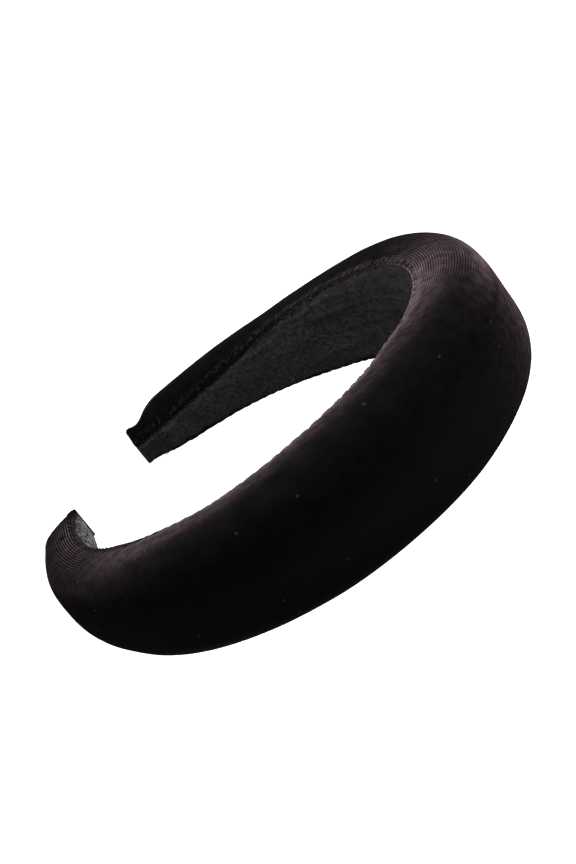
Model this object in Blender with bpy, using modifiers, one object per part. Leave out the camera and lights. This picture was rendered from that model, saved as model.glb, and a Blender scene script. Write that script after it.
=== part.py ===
"""Padded velvet headband: a springy plastic hoop with a foam pad, sewn into a velvet and lining sleeve.

Frame: X runs from ear to ear, Y from the back edge to the front edge of the band, and Z points up,
as the headband is worn. The origin is under the crown, level with the lowest point of the two tips.

Every long layer follows one guide line, the middle of the band's inner face. The guide starts at the
crown and runs down one side to the tip. A place in the band is (s, y, n): s along the guide, y across
the band and n outward from the inner face. The band is cut at the crown, where the hoop flexes, so
each layer is a right half and its mirror image.
"""

import math

import bmesh
import bpy

# ---- guide line, in metres ----
CROWN_FLAT = 0.0025
ARC_RADII = (0.058, 0.097, 0.153)
ARC_LENGTHS = (0.0965, 0.0480, 0.0407)
HALF_LENGTH = CROWN_FLAT + sum(ARC_LENGTHS)

# ---- outer form of the band ----
CROWN_HALF_WIDTH = 0.0210
SIDE_HALF_WIDTH = 0.0081
WIDTH_TAPER_POWER = 1.39
TAB_HALF_WIDTH = 0.0060
TAB_NARROWING = 0.0140  # length over which the band narrows to the tab
TAB_OVERRUN = 0.0025  # the narrowing is cut short by this much at the end of the tab
CROWN_THICKNESS = 0.0214
SIDE_THICKNESS = 0.0128
THICKNESS_TAPER_POWER = 2.7
TAB_THICKNESS = 0.0040
TAB_LENGTH = 0.0050
PAD_SLOPE = 0.0098  # length over which the pad rises from the tab
WIDEST_LEVEL = 0.38  # share of the thickness where the band is widest
OUTER_ROUNDNESS = 3.1  # exponent of the outer face's superellipse
EDGE_ROUNDNESS = 2.6  # exponent of the roll between the inner face and the edge

# ---- layers, as heights above the inner face ----
GAP = 0.0003
LINING_THICKNESS = 0.0006
HOOP_THICKNESS = 0.0017
TAPE_THICKNESS = 0.0003
VELVET_THICKNESS = 0.0011
HOOP_BASE = LINING_THICKNESS + GAP
TAPE_BASE = HOOP_BASE + HOOP_THICKNESS + GAP
FOAM_BASE = TAPE_BASE + TAPE_THICKNESS + GAP
FOAM_CLEARANCE = 0.0006
FOAM_EDGE = 0.0012

# ---- widths across the band ----
CROWN_LINING_SHARE = 0.78  # lining half width as a share of the band's half width
TIP_LINING_SHARE = 0.56
SEAM_GROOVE = 0.0012
THREAD_RADIUS = 0.00025
THREAD_HEIGHT = 0.00035
HOOP_EDGE_INSET = 0.0047
HOOP_TAB_HALF_WIDTH = 0.0042
HOOP_CHAMFER = 0.0006
TAPE_EDGE_INSET = 0.0010
TAPE_END_INSET = 0.0010

# ---- dried adhesive that seals each tip ----
SEAL_LENGTH = 0.0088
SEAL_HALF_WIDTH = 0.0042
SEAL_THICKNESS = 0.0005
SEAL_LIFT = 0.00015  # clears the bend of the tab under the flat film
SEAL_END_INSET = 0.0012
SEAL_BEVEL = 0.0002

# ---- how finely the layers are divided ----
COARSE_STEP = 0.0092
FINE_STEP = 0.0032
FINE_LENGTH = 0.0190  # stretch next to the tip with fine steps
SECTION_POINTS = 10  # points on each side of a section, from the seam to the top
FINE_CURVE_POINTS = 60
END_WALL = 0.0008

RIGHT = 1
LEFT = -1
SIDE_NAMES = {RIGHT: "right", LEFT: "left"}


def guide(s):
    """Point (x, z) on the guide line and its heading in radians; 0 points to +X and pi/2 points down."""
    x, z, heading = min(s, CROWN_FLAT), 0.0, 0.0
    left = s - CROWN_FLAT
    for radius, length in zip(ARC_RADII, ARC_LENGTHS):
        if left <= 0:
            break
        turn = min(left, length) / radius
        x += radius * (math.sin(heading + turn) - math.sin(heading))
        z += radius * (math.cos(heading + turn) - math.cos(heading))
        heading += turn
        left -= length
    return x, z, heading


def smooth_step(t):
    t = min(max(t, 0.0), 1.0)
    return t * t * (3 - 2 * t)


def taper(crown, side, power, s):
    """Value at s of a size that eases from its crown value to its value near the tip."""
    wave = 0.5 + 0.5 * math.cos(math.pi * (s / HALF_LENGTH) ** power)
    return side + (crown - side) * wave


def band_half_width(s):
    width = taper(CROWN_HALF_WIDTH, SIDE_HALF_WIDTH, WIDTH_TAPER_POWER, s)
    widening = smooth_step((HALF_LENGTH + TAB_OVERRUN - s) / TAB_NARROWING)
    return TAB_HALF_WIDTH + (width - TAB_HALF_WIDTH) * widening


def band_thickness(s):
    thickness = taper(CROWN_THICKNESS, SIDE_THICKNESS, THICKNESS_TAPER_POWER, s)
    rise = smooth_step((HALF_LENGTH - TAB_LENGTH - s) / PAD_SLOPE)
    return TAB_THICKNESS + (thickness - TAB_THICKNESS) * rise


def lining_half_width(s):
    share = CROWN_LINING_SHARE + (TIP_LINING_SHARE - CROWN_LINING_SHARE) * s / HALF_LENGTH
    return share * band_half_width(s)


def hoop_half_width(s):
    return max(HOOP_TAB_HALF_WIDTH, band_half_width(s) - HOOP_EDGE_INSET)


def foam_end():
    """Where the foam, thinned to a feather edge, stops on the slope above the tab."""
    s = HALF_LENGTH
    while band_thickness(s) - VELVET_THICKNESS - FOAM_CLEARANCE < FOAM_BASE + FOAM_EDGE:
        s -= FINE_STEP / 8
    return s


def layer_stations(end):
    """Stations shared by all layers, so that neighbours bend alike: from the cut at the crown to an end."""
    fine_start = HALF_LENGTH - FINE_LENGTH
    coarse_count = round((fine_start - CROWN_FLAT) / COARSE_STEP)
    grid = [CROWN_FLAT + (fine_start - CROWN_FLAT) * i / coarse_count for i in range(coarse_count + 1)]
    while grid[-1] + FINE_STEP < HALF_LENGTH:
        grid.append(grid[-1] + FINE_STEP)
    return [GAP / 2] + [s for s in grid if s < end - FINE_STEP / 4] + [end]


def place(s, y, n, height):
    """World point of (s, y, n) on the right half, with the guide's crown point at the given height."""
    x, z, heading = guide(s)
    return (x + n * math.sin(heading), y, height + z + n * math.cos(heading))


def half_section(half_width, start_y, base, top, widest, count):
    """Points (y, n) from the seam at (start_y, base), round the edge, to the top at (0, top)."""
    points = []
    lower = max(3, round(count * 0.4))
    for i in range(lower):
        t = math.pi / 2 * i / lower
        y = start_y + (half_width - start_y) * math.sin(t) ** (2 / EDGE_ROUNDNESS)
        n = widest - (widest - base) * math.cos(t) ** (2 / EDGE_ROUNDNESS)
        points.append((y, n))
    upper = count - lower
    for i in range(upper):
        t = math.pi / 2 * i / (upper - 1)
        y = half_width * max(0.0, math.cos(t)) ** (2 / OUTER_ROUNDNESS)
        n = widest + (top - widest) * math.sin(t) ** (2 / OUTER_ROUNDNESS)
        points.append((y, n))
    return points


def mirrored(points):
    """The half section and its mirror image, as one run from the +Y seam over the top to the -Y seam."""
    return points + [(-y, n) for y, n in reversed(points[:-1])]


def resample(points, count):
    """The same open run of points, divided evenly by length."""
    lengths = [0.0]
    for a, b in zip(points, points[1:]):
        lengths.append(lengths[-1] + math.dist(a, b))
    result = []
    for i in range(count):
        target = lengths[-1] * i / (count - 1)
        j = next(k for k in range(1, len(points)) if lengths[k] >= target - 1e-12)
        t = (target - lengths[j - 1]) / (lengths[j] - lengths[j - 1])
        a, b = points[j - 1], points[j]
        result.append((a[0] + (b[0] - a[0]) * t, a[1] + (b[1] - a[1]) * t))
    return result


def clipped_above(points, level):
    """The part of a half section that lies above a level, starting with the crossing point."""
    for i in range(1, len(points)):
        (y0, n0), (y1, n1) = points[i - 1], points[i]
        if n1 > level >= n0:
            t = (level - n0) / (n1 - n0)
            return [(y0 + (y1 - y0) * t, level)] + points[i:]
    return points


def velvet_ring(s):
    """C-shaped section of the cover: the outer face from seam to seam, then the inner face back."""
    half_width, thickness = band_half_width(s), band_thickness(s)
    seam = lining_half_width(s) + SEAM_GROOVE
    widest = WIDEST_LEVEL * thickness
    outer = half_section(half_width, seam, 0.0, thickness, widest, SECTION_POINTS)
    inner = half_section(
        half_width - VELVET_THICKNESS, seam, LINING_THICKNESS, thickness - VELVET_THICKNESS, widest, SECTION_POINTS
    )
    return mirrored(outer) + list(reversed(mirrored(inner)))


def end_wall_ring(s):
    """Section of the folded end of the cover: the same outline with its hollow filled in."""
    ring = velvet_ring(s)
    outer_count = len(ring) // 2
    seam = ring[0][0]
    filled = [(-seam + 2 * seam * i / (outer_count - 1), LINING_THICKNESS) for i in range(outer_count)]
    return ring[:outer_count] + filled


def foam_ring(s):
    half_width, thickness = band_half_width(s), band_thickness(s)
    inset = VELVET_THICKNESS + FOAM_CLEARANCE
    seam = lining_half_width(s)
    widest = WIDEST_LEVEL * thickness
    fine = half_section(half_width - inset, seam, LINING_THICKNESS, thickness - inset, widest, FINE_CURVE_POINTS)
    return mirrored(resample(clipped_above(fine, FOAM_BASE), SECTION_POINTS))


def strip_ring(half_width, base, top):
    """Flat strip, divided at its middle line."""
    return [(half_width, base), (half_width, top), (0.0, top), (-half_width, top), (-half_width, base), (0.0, base)]


def hoop_ring(s):
    w, base, top, c = hoop_half_width(s), HOOP_BASE, HOOP_BASE + HOOP_THICKNESS, HOOP_CHAMFER
    right = [(w - c, base), (w, base + c), (w, top - c), (w - c, top)]
    return right + [(-y, n) for y, n in reversed(right)]


def loft(name, sections, height, side, material, collection):
    """Closed solid through a run of (s, ring) sections, capped at both ends. side mirrors it in X."""
    mesh = bpy.data.meshes.new(name)
    bm = bmesh.new()
    rings = []
    for s, ring in sections:
        points = [place(s, y, n, height) for y, n in ring]
        rings.append([bm.verts.new((side * x, y, z)) for x, y, z in points])
    count = len(rings[0])
    for a, b in zip(rings, rings[1:]):
        for i in range(count):
            j = (i + 1) % count
            bm.faces.new((a[i], a[j], b[j], b[i]))
    bm.faces.new(reversed(rings[0]))
    bm.faces.new(rings[-1])
    bmesh.ops.recalc_face_normals(bm, faces=bm.faces)
    bm.to_mesh(mesh)
    bm.free()
    mesh.shade_smooth()
    mesh.set_sharp_from_angle(angle=math.radians(40))
    mesh.materials.append(material)
    part = bpy.data.objects.new(name, mesh)
    collection.objects.link(part)
    return part


def make_material(name, colour, roughness, sheen=0.0):
    material = bpy.data.materials.new(name)
    material.use_nodes = True
    shader = material.node_tree.nodes["Principled BSDF"]
    shader.inputs["Base Color"].default_value = (*colour, 1.0)
    shader.inputs["Roughness"].default_value = roughness
    shader.inputs["Metallic"].default_value = 0.0
    shader.inputs["Sheen Weight"].default_value = sheen
    return material


def add_velvet_cover(side, height, material, collection):
    end = HALF_LENGTH
    sections = [(s, velvet_ring(s)) for s in layer_stations(end - 2 * END_WALL)]
    sections += [(end - END_WALL, end_wall_ring(end - END_WALL)), (end, end_wall_ring(end))]
    return loft(f"velvet_cover_{SIDE_NAMES[side]}", sections, height, side, material, collection)


def add_foam_pad(side, height, material, collection):
    sections = [(s, foam_ring(s)) for s in layer_stations(foam_end())]
    return loft(f"foam_pad_{SIDE_NAMES[side]}", sections, height, side, material, collection)


def add_foam_tape(side, height, material, collection):
    """Double-sided tape that holds the foam to the hoop."""
    sections = []
    for s in layer_stations(foam_end() - TAPE_END_INSET):
        half_width = min(hoop_half_width(s), foam_ring(s)[0][0]) - TAPE_EDGE_INSET
        sections.append((s, strip_ring(half_width, TAPE_BASE, TAPE_BASE + TAPE_THICKNESS)))
    return loft(f"foam_tape_{SIDE_NAMES[side]}", sections, height, side, material, collection)


def add_hoop(side, height, material, collection):
    end = HALF_LENGTH - 2 * END_WALL - GAP
    sections = [(s, hoop_ring(s)) for s in layer_stations(end)]
    return loft(f"core_hoop_{SIDE_NAMES[side]}", sections, height, side, material, collection)


def add_lining(side, height, material, collection):
    end = HALF_LENGTH - 2 * END_WALL
    sections = []
    for s in layer_stations(end):
        sections.append((s, strip_ring(lining_half_width(s), 0.0, LINING_THICKNESS)))
    return loft(f"inner_lining_{SIDE_NAMES[side]}", sections, height, side, material, collection)


def add_seam_thread(side, edge, edge_name, height, material, collection):
    """Sewing thread that runs in the groove between the velvet and the lining."""
    name = f"seam_thread_{edge_name}_{SIDE_NAMES[side]}"
    curve = bpy.data.curves.new(name, "CURVE")
    curve.dimensions = "3D"
    curve.bevel_depth = THREAD_RADIUS
    curve.bevel_resolution = 1
    curve.use_fill_caps = True
    places = layer_stations(HALF_LENGTH - 3 * END_WALL)
    spline = curve.splines.new("POLY")
    spline.points.add(len(places) - 1)
    for point, s in zip(spline.points, places):
        y = edge * (lining_half_width(s) + SEAM_GROOVE / 2)
        x, y, z = place(s, y, THREAD_HEIGHT, height)
        point.co = (side * x, y, z, 1.0)
    curve.materials.append(material)
    part = bpy.data.objects.new(name, curve)
    collection.objects.link(part)
    return part


def add_tip_seal(side, height, material, collection):
    """Flat film of clear adhesive on the inner face of the tab."""
    middle = HALF_LENGTH - SEAL_END_INSET - SEAL_LENGTH / 2
    level = -GAP - SEAL_LIFT - SEAL_THICKNESS / 2
    _, _, heading = guide(middle)
    x, y, z = place(middle, 0.0, level, height)
    mesh = bpy.data.meshes.new(f"tip_seal_{SIDE_NAMES[side]}")
    bm = bmesh.new()
    bmesh.ops.create_cube(bm, size=1.0)
    bmesh.ops.scale(bm, vec=(SEAL_LENGTH, 2 * SEAL_HALF_WIDTH, SEAL_THICKNESS), verts=bm.verts)
    bm.to_mesh(mesh)
    bm.free()
    mesh.materials.append(material)
    part = bpy.data.objects.new(mesh.name, mesh)
    part.location = (side * x, y, z)
    part.rotation_euler = (0.0, side * heading, 0.0)
    bevel = part.modifiers.new("rounded_rim", "BEVEL")
    bevel.width = SEAL_BEVEL
    bevel.segments = 1
    collection.objects.link(part)
    return part


def remove_scene_objects():
    for old in list(bpy.data.objects):
        bpy.data.objects.remove(old, do_unlink=True)


def tip_drop():
    """How far the lowest point of the cover lies below the crown of the guide line."""
    places = layer_stations(HALF_LENGTH)
    return -min(place(s, y, n, 0.0)[2] for s in places for y, n in velvet_ring(s))


def build():
    remove_scene_objects()
    collection = bpy.data.collections.new("headband")
    bpy.context.scene.collection.children.link(collection)
    velvet = make_material("black_velvet", (0.012, 0.010, 0.012), 0.95, sheen=0.3)
    lining = make_material("lining_weave", (0.035, 0.030, 0.032), 0.85)
    plastic = make_material("hoop_plastic", (0.04, 0.04, 0.045), 0.45)
    foam = make_material("pad_foam", (0.75, 0.73, 0.66), 0.95)
    tape = make_material("foam_adhesive", (0.80, 0.78, 0.66), 0.5)
    thread = make_material("sewing_thread", (0.05, 0.045, 0.05), 0.7)
    seal = make_material("dried_adhesive", (0.35, 0.35, 0.37), 0.2)
    height = tip_drop()
    for side in (LEFT, RIGHT):
        add_hoop(side, height, plastic, collection)
        add_foam_tape(side, height, tape, collection)
        add_foam_pad(side, height, foam, collection)
        add_velvet_cover(side, height, velvet, collection)
        add_lining(side, height, lining, collection)
        add_seam_thread(side, 1, "front", height, thread, collection)
        add_seam_thread(side, -1, "rear", height, thread, collection)
        add_tip_seal(side, height, seal, collection)


build()
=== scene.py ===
"""Looks of the padded velvet headband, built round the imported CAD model.

The band is laid out in its own coordinates: s runs along it from the left tip (negative) over the crown
(0) to the right tip, y runs across it towards the front edge, and n points out of its inner face. Every
layer is made as a grid in (s, y, n) and then placed round the guide line, which is the CAD model's.
"""

import math

import bpy
import numpy as np
from mathutils import Matrix, Vector


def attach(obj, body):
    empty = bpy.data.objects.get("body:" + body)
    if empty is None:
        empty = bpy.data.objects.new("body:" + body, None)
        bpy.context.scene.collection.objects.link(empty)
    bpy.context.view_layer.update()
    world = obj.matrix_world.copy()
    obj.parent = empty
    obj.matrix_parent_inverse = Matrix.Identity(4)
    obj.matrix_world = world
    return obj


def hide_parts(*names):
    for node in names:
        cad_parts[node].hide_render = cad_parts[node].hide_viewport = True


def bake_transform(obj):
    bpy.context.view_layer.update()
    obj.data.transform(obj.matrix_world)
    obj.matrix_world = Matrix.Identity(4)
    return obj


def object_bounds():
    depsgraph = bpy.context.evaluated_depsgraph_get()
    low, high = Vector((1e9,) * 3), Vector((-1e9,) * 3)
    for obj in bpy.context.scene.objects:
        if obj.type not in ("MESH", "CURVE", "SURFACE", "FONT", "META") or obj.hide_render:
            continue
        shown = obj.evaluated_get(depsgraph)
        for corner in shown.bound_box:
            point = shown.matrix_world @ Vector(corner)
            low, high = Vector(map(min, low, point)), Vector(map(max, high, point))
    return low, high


FRONT, REAR = 1, -1
RIGHT, LEFT = 1, -1

# ---- the band's driving dimensions, in metres, as in the CAD model ----
CROWN_FLAT = 0.0025
ARC_RADII = (0.058, 0.097, 0.153)
ARC_LENGTHS = (0.0965, 0.0480, 0.0407)
HALF_LENGTH = CROWN_FLAT + sum(ARC_LENGTHS)
CROWN_HALF_WIDTH = 0.0210
SIDE_HALF_WIDTH = 0.0081
WIDTH_TAPER_POWER = 1.39
TAB_HALF_WIDTH = 0.0060
TAB_NARROWING = 0.0140
TAB_OVERRUN = 0.0025
CROWN_THICKNESS = 0.0214
SIDE_THICKNESS = 0.0128
THICKNESS_TAPER_POWER = 2.7
TAB_THICKNESS = 0.0040
TAB_LENGTH = 0.0050
PAD_SLOPE = 0.0098
WIDEST_LEVEL = 0.38
OUTER_ROUNDNESS = 3.1
EDGE_ROUNDNESS = 2.6

# ---- how the soft layers differ from their plain CAD solids ----
GUIDE_STEP = 0.0002
GUIDE_EASING = 0.012  # length over which one arc of the guide eases into the next
END_ROUNDING = 0.0016  # radius of the folded end of each tab
END_BULGE = 0.0007
END_BULGE_REACH = 0.004
SEAM_DEPTH = 0.0007  # the seam is drawn this far into the pad
SEAM_SHARE = 0.90  # each seam lies this share of the half width out from the middle
SEAM_SWING = (0.110, 0.185)  # between these distances from the crown the seam swings to its place at the tip
LEFT_FRONT_TIP_SHARE = 0.74
RIGHT_FRONT_TIP_SHARE = 0.24
REAR_TIP_SHARE = 0.86

# ---- grid of the velvet cover ----
LONG_STEP = 0.0015
GATHER_DIVISION = 6  # the gathers beside the seam are divided this many times finer along the band
GATHER_WIDTH = 0.0026
GATHER_ROWS = 12
ROLL_ROWS = 86
TOP_ROWS = 20
ROLL_WIDTH = 0.0190

# ---- relief of the cloth ----
RIB_PITCH = 0.00084
RIB_HEIGHT = 0.00009
RIB_CROWN_REACH = 0.054  # the rows show this far along the band on each side of a place near the crown
RIB_CROWN_SHIFT = 0.062
RIB_TIP_START = 0.110
PUCKER_PITCH = 0.00105
PUCKER_HEIGHT = 0.00030
GATHER_PITCH = 0.0035
GATHER_HEIGHT = 0.00030
PINCH_PLACE = (-0.1620, 0.0052)  # along the band and from the front seam
PINCH_RADIUS = 0.0020
PINCH_DEPTH = 0.0008
LINING_STEP = 0.0007
LINING_ROWS = 61
SHEEN = 1.0

# ---- cloth simulation of the sleeve ----
SIM_REACH = HALF_LENGTH - 0.006
SIM_STATIONS = 241
SIM_TOP_COLUMNS = 40
SIM_UNDER_COLUMNS = 18
SIM_SCALE = 10.0
SIM_FRAMES = 20
SIM_PRESSURE = 4.0
SIM_EXCESS = 0.03  # the cloth is cut this much larger than the form it covers
SIM_BROAD_REACH = (7, 5)  # stations and columns over which the even swelling is averaged, to be left out
SIM_COVER_CAP = 0.00045
SIM_LINING_CAP = 0.00035

# ---- thread, adhesive and the hidden layers ----
STITCH_PITCH = 0.0030
STITCH_LENGTH = 0.0024
STITCH_LEAN = 0.0005
STITCH_ARCH = 0.00025
THREAD_RADIUS = 0.00014
SEAL_LENGTHS = {LEFT: 0.0380, RIGHT: 0.0085}
SEAL_ENDS = {LEFT: HALF_LENGTH - 0.0026, RIGHT: HALF_LENGTH - 0.0010}
SEAL_SLANTS = {LEFT: 0.0065, RIGHT: 0.0}  # how much farther from the tip it ends at the rear
SEAL_FRONT_MARGIN = 0.0007  # the bare cloth between the adhesive and each seam
SEAL_REAR_MARGIN = 0.0032
SEAL_STEP = 0.00019
SEAL_ROWS = 80
SEAL_BODIES = {LEFT: 1.0, RIGHT: 0.25}  # how thickly the adhesive stands on each tab
GAP = 0.0003
HOOP_BASE = 0.0012
TAPE_BASE = HOOP_BASE + 0.0017 + GAP
FOAM_BASE = TAPE_BASE + 0.0003 + GAP
FOAM_INSET = 0.0017
LAYER_CLEARANCE = 0.0003
THICKEST_DIP = 0.0014
FOAM_REACH = 0.1790

# ---- studio ----
CAMERA_AZIMUTH = -118.953
CAMERA_ELEVATION = 44.435
CAMERA_ROLL = 73.84
CAMERA_DISTANCE = 0.5613
CAMERA_AIM_DROP = 0.0609  # the camera aims this far below the inside of the crown
CAMERA_LENS = 77.06
CAMERA_SHIFT = (0.01696, 0.00857)
FLOOR_SIZE = 40.0
FLOOR_TONE = 0.7
WORLD_STRENGTH = 0.2
KEY_DIRECTION = (0.05, 0.92, 0.38)
KEY_POWER = 14.0
BACK_DIRECTION = (0.35, -0.85, 0.35)
BACK_POWER = 4.0

# where the hand-laid padding is fuller than an even taper: edge, place along the band, reach, extra half width
FULLER_PLACES = (
    (FRONT, 0.166, 0.040, 0.0023),
    (FRONT, HALF_LENGTH, 0.0045, 0.0013),
    (FRONT, 0.1825, 0.0045, -0.0006),
    (REAR, 0.181, 0.008, -0.0012),
    (REAR, -0.172, 0.016, 0.0012),
    (REAR, -0.160, 0.010, 0.0012),
    (FRONT, -0.112, 0.034, -0.0013),
    (REAR, 0.000, 0.040, 0.0005),
)


def smooth_step(t):
    t = np.clip(t, 0.0, 1.0)
    return t * t * (3 - 2 * t)


def value_noise(u, v, seed):
    """Smooth noise from -1 to 1 that changes over a distance of about 1 in u and in v."""
    table = np.random.default_rng(seed).uniform(-1, 1, (256, 256))
    u, v = np.broadcast_arrays(np.asarray(u, float), np.asarray(v, float))
    i, j = np.floor(u).astype(int), np.floor(v).astype(int)
    a, b = smooth_step(u - i), smooth_step(v - j)
    low = table[i % 256, j % 256] * (1 - a) + table[(i + 1) % 256, j % 256] * a
    high = table[i % 256, (j + 1) % 256] * (1 - a) + table[(i + 1) % 256, (j + 1) % 256] * a
    return low * (1 - b) + high * b


# ---- form of the band ----


def taper(crown, side, power, s):
    wave = 0.5 + 0.5 * np.cos(math.pi * (np.abs(s) / HALF_LENGTH) ** power)
    return side + (crown - side) * wave


def half_width(s):
    width = taper(CROWN_HALF_WIDTH, SIDE_HALF_WIDTH, WIDTH_TAPER_POWER, s)
    widening = smooth_step((HALF_LENGTH + TAB_OVERRUN - np.abs(s)) / TAB_NARROWING)
    return TAB_HALF_WIDTH + (width - TAB_HALF_WIDTH) * widening


def fullness(s, edge):
    """How much wider one half of the soft cover is than the even taper, at places along the band."""
    extra = np.zeros_like(s)
    for place_edge, centre, reach, amount in FULLER_PLACES:
        if place_edge == edge:
            extra = extra + amount * smooth_step(1 - np.abs(s - centre) / reach)
    return extra


def thickness(s):
    full = taper(CROWN_THICKNESS, SIDE_THICKNESS, THICKNESS_TAPER_POWER, s)
    rise = smooth_step((HALF_LENGTH - TAB_LENGTH - np.abs(s)) / PAD_SLOPE)
    return TAB_THICKNESS + (full - TAB_THICKNESS) * rise


def seam_half_width(s, edge):
    """Distance of a seam from the band's middle line. It swings inward along the last part of each arm."""
    tip_share = REAR_TIP_SHARE
    if edge == FRONT:
        tip_share = np.where(s < 0, LEFT_FRONT_TIP_SHARE, RIGHT_FRONT_TIP_SHARE)
    start, end = SEAM_SWING
    swing = smooth_step((np.abs(s) - start) / (end - start))
    return half_width(s) * (SEAM_SHARE + (tip_share - SEAM_SHARE) * swing)


def end_closing(s):
    """1 along the band, easing to 0 at each end in a quarter circle, which rounds off the folded end."""
    past = np.clip((np.abs(s) - (HALF_LENGTH - END_ROUNDING)) / END_ROUNDING, 0.0, 1.0)
    return np.sqrt(1 - past**2)


def bulged_end(s, y):
    """Distances along the band, let out in the middle of each folded end so that the end is convex."""
    near_end = smooth_step((np.abs(s) - (HALF_LENGTH - END_BULGE_REACH)) / END_BULGE_REACH)
    middle = np.clip(1 - (y / TAB_HALF_WIDTH) ** 2, 0.0, 1.0)
    return s + np.where(s < 0, -1.0, 1.0) * END_BULGE * middle * near_end


def make_guide():
    """Tables of s, x, z and heading along one side of the guide line, with the arcs eased into each other."""
    s = np.arange(0.0, HALF_LENGTH + GUIDE_STEP, GUIDE_STEP)
    curvature = np.zeros_like(s)
    start = CROWN_FLAT
    for radius, length in zip(ARC_RADII, ARC_LENGTHS):
        curvature[s >= start] = 1 / radius
        start += length
    reach = round(GUIDE_EASING / GUIDE_STEP / 2)
    padded = np.concatenate([curvature[reach:0:-1], curvature, np.full(reach, curvature[-1])])
    curvature = np.convolve(padded, np.ones(2 * reach + 1) / (2 * reach + 1), mode="valid")
    heading = np.concatenate([[0.0], np.cumsum(curvature)[:-1] * GUIDE_STEP])
    x = np.concatenate([[0.0], np.cumsum(np.cos(heading))[:-1] * GUIDE_STEP])
    z = -np.concatenate([[0.0], np.cumsum(np.sin(heading))[:-1] * GUIDE_STEP])
    return s, x, z, heading


def place(s, y, n):
    """Points in the row frame for band coordinates, as an array with a last axis of 3."""
    table_s, table_x, table_z, table_heading = GUIDE
    along = np.abs(s)
    side = np.where(np.asarray(s) < 0, -1.0, 1.0)
    heading = np.interp(along, table_s, table_heading)
    x = side * (np.interp(along, table_s, table_x) + n * np.sin(heading))
    z = CROWN_HEIGHT + np.interp(along, table_s, table_z) + n * np.cos(heading)
    x, y, z = np.broadcast_arrays(x, y, z)
    return np.stack([x, y, z], axis=-1)


def section(s, edge, inset=0.0, samples=160):
    """Half sections at stations s, from the top middle to the seam: arrays (station, sample) of y and n.

    inset moves the outline inward, for the layers inside the cover.
    """
    s = np.asarray(s)[:, None]
    close = end_closing(s)
    width = (half_width(s) + fullness(s, edge)) * (0.9 + 0.1 * close) - inset
    height = thickness(s) * close - inset
    widest = WIDEST_LEVEL * thickness(s) * close
    seam = np.minimum(seam_half_width(s, edge), width)
    base = SEAM_DEPTH * close
    t = np.linspace(math.pi / 2, 0.0, samples)[None, :]
    sine, cosine = np.sin(t), np.clip(np.cos(t), 0.0, 1.0)
    top_y = width * cosine ** (2 / OUTER_ROUNDNESS)
    top_n = widest + (height - widest) * sine ** (2 / OUTER_ROUNDNESS)
    low_y = seam + (width - seam) * sine ** (2 / EDGE_ROUNDNESS)
    low_n = widest - (widest - base) * cosine ** (2 / EDGE_ROUNDNESS)
    y = np.concatenate([top_y, low_y[:, 1:]], axis=1)
    n = np.concatenate([top_n, low_n[:, 1:]], axis=1)
    return edge * y, n


def row_distances(length):
    """Distances from the seam of the cover's rows, for half sections of the given lengths."""
    length = length[:, None]
    gather = np.minimum(GATHER_WIDTH, 0.35 * length)
    roll = np.minimum(ROLL_WIDTH, 0.45 * (length - gather) + gather)
    parts = [
        gather * np.arange(GATHER_ROWS) / GATHER_ROWS,
        gather + (roll - gather) * np.arange(ROLL_ROWS) / ROLL_ROWS,
        roll + (length - roll) * np.arange(TOP_ROWS + 1) / TOP_ROWS,
    ]
    return np.concatenate(parts, axis=1)


def resampled_half(s, edge):
    """Rows of a half section from the seam to the top middle: y, n, and distances from the seam and middle."""
    y, n = section(s, edge)
    steps = np.hypot(np.diff(y, axis=1), np.diff(n, axis=1))
    run = np.concatenate([np.zeros((len(s), 1)), np.cumsum(steps, axis=1)], axis=1)
    length = run[:, -1]
    from_seam = row_distances(length)
    from_top = length[:, None] - from_seam
    rows_y = np.stack([np.interp(from_top[i], run[i], y[i]) for i in range(len(s))])
    rows_n = np.stack([np.interp(from_top[i], run[i], n[i]) for i in range(len(s))])
    return rows_y, rows_n, from_seam, from_top


# ---- relief of the velvet ----


def rib_strength(s, from_seam, from_top):
    """Where the rows of the pile show: where the cloth is pulled over the crown's roll and round the tips."""
    crown = smooth_step((RIB_CROWN_REACH - np.abs(s - RIB_CROWN_SHIFT)) / 0.022)
    tips = smooth_step((np.abs(s) - RIB_TIP_START) / 0.040)
    on_roll = smooth_step((from_top - 0.0125) / 0.005)
    patchy = 0.85 + 0.35 * value_noise(s / 0.012, from_top / 0.006, 11)
    clear_of_seam = smooth_step((from_seam - 0.0004) / 0.0008)
    shown = np.maximum(0.36 * crown, np.where(s < 0, tips, 0.35 * tips))
    return np.clip(shown * on_roll * patchy + 0.03, 0.0, 1.0) * clear_of_seam


def rib_phase(s, from_seam):
    wander = 1.3 * value_noise(s / 0.030, from_seam / 0.012, 12) + 0.35 * value_noise(s / 0.006, from_seam / 0.004, 13)
    return 2 * math.pi * from_seam / RIB_PITCH + wander


def puckers(s, from_seam, edge):
    """Small gathers that run out of the seam at a slant, with larger ones between them, none of them even."""
    seed = 21 if edge == FRONT else 31
    slant = 0.8 * from_seam
    small = (s + slant) / PUCKER_PITCH + 1.1 * value_noise(s / 0.005, 0.0, seed)
    large = (s + 0.5 * from_seam) / GATHER_PITCH + 0.9 * value_noise(s / 0.012, 0.0, seed + 1)
    near = smooth_step(from_seam / 0.0006) * (1 - smooth_step((from_seam - 0.0008) / 0.0022))
    wide = smooth_step(from_seam / 0.0010) * (1 - smooth_step((from_seam - 0.0015) / 0.0040))
    uneven = 0.75 + 0.55 * value_noise(s / 0.0040, from_seam / 0.003, seed + 2)
    dips = PUCKER_HEIGHT * np.cos(math.pi * small) ** 2 * near + GATHER_HEIGHT * np.cos(math.pi * large) ** 4 * wide
    return -dips * uneven


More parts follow.
